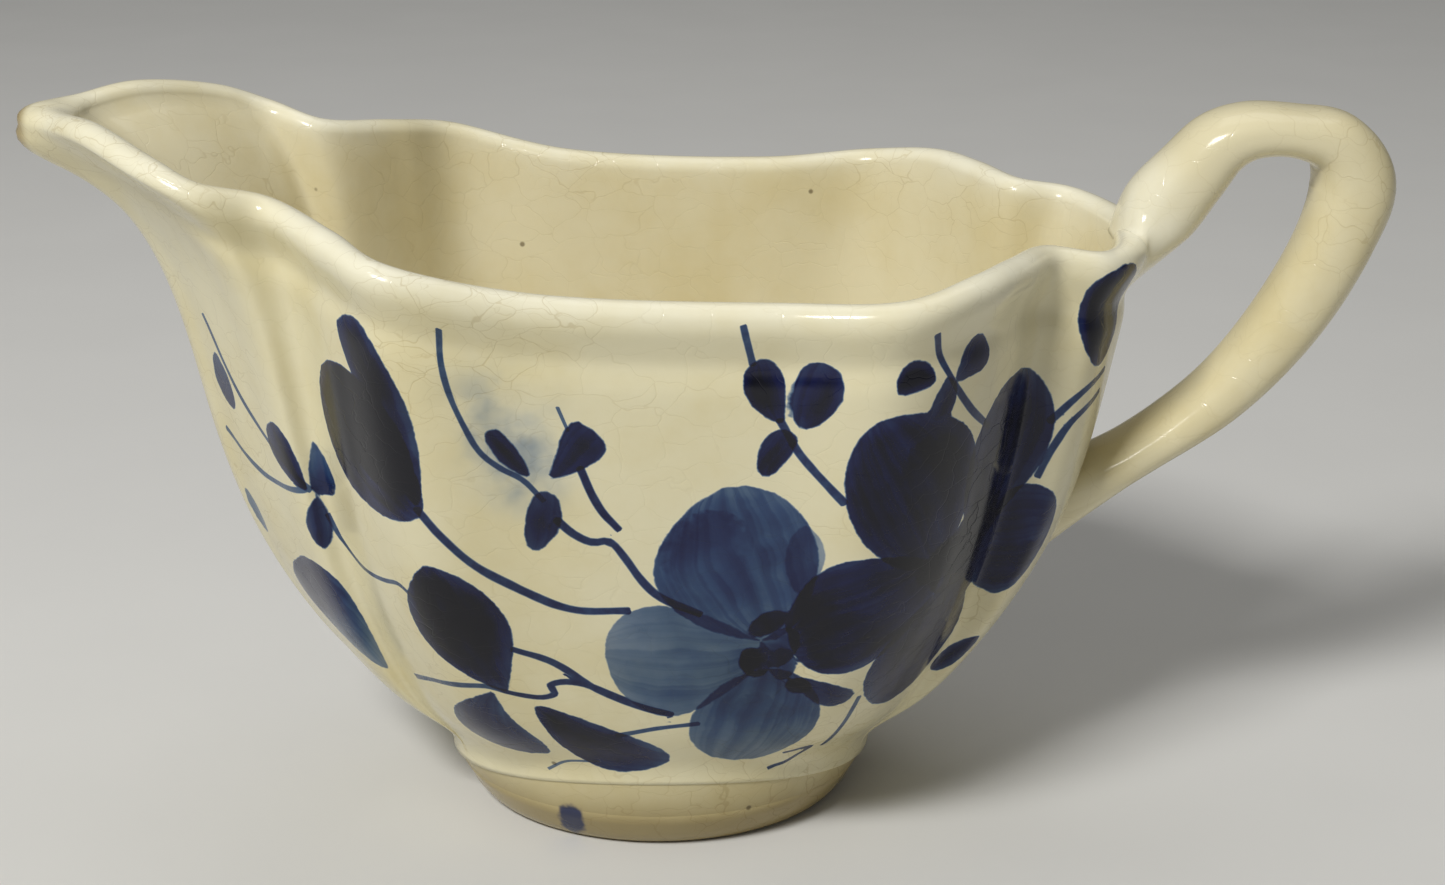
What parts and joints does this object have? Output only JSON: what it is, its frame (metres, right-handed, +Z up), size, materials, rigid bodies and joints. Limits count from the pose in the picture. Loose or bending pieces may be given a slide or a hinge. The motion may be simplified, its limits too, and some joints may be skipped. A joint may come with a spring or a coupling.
{
  "type": "cream jug",
  "caption": "Small footed earthenware cream jug: lobed bowl with a cast-in pouring spout, oval foot ring and a loop handle, ivory glaze with blue hand-painted flowers.",
  "frame": {"origin": "middle of the jug's box, on the surface it stands on", "axes": "+X from the spout to the handle, +Y across, +Z up; the jug is the same on both sides of the XZ plane"},
  "size_m": [0.1636, 0.0748, 0.088],
  "materials": {
    "glazed_bowl": "glossy ivory glaze over cream earthenware, with blue painted flowers under it and fine crazing",
    "glazed_foot": "glossy ivory glaze, a little darker where it gathers; the standing edge wiped bare",
    "glazed_handle": "glossy ivory glaze",
    "glazed_slip": "slip joint under the same glossy ivory glaze"
  },
  "bodies": {
    "root": {"bowl": "glazed_bowl", "foot_ring": "glazed_foot", "foot_join": "glazed_slip", "handle": "glazed_handle", "upper_handle_join": "glazed_slip", "lower_handle_join": "glazed_slip"}
  },
  "joints": []
}
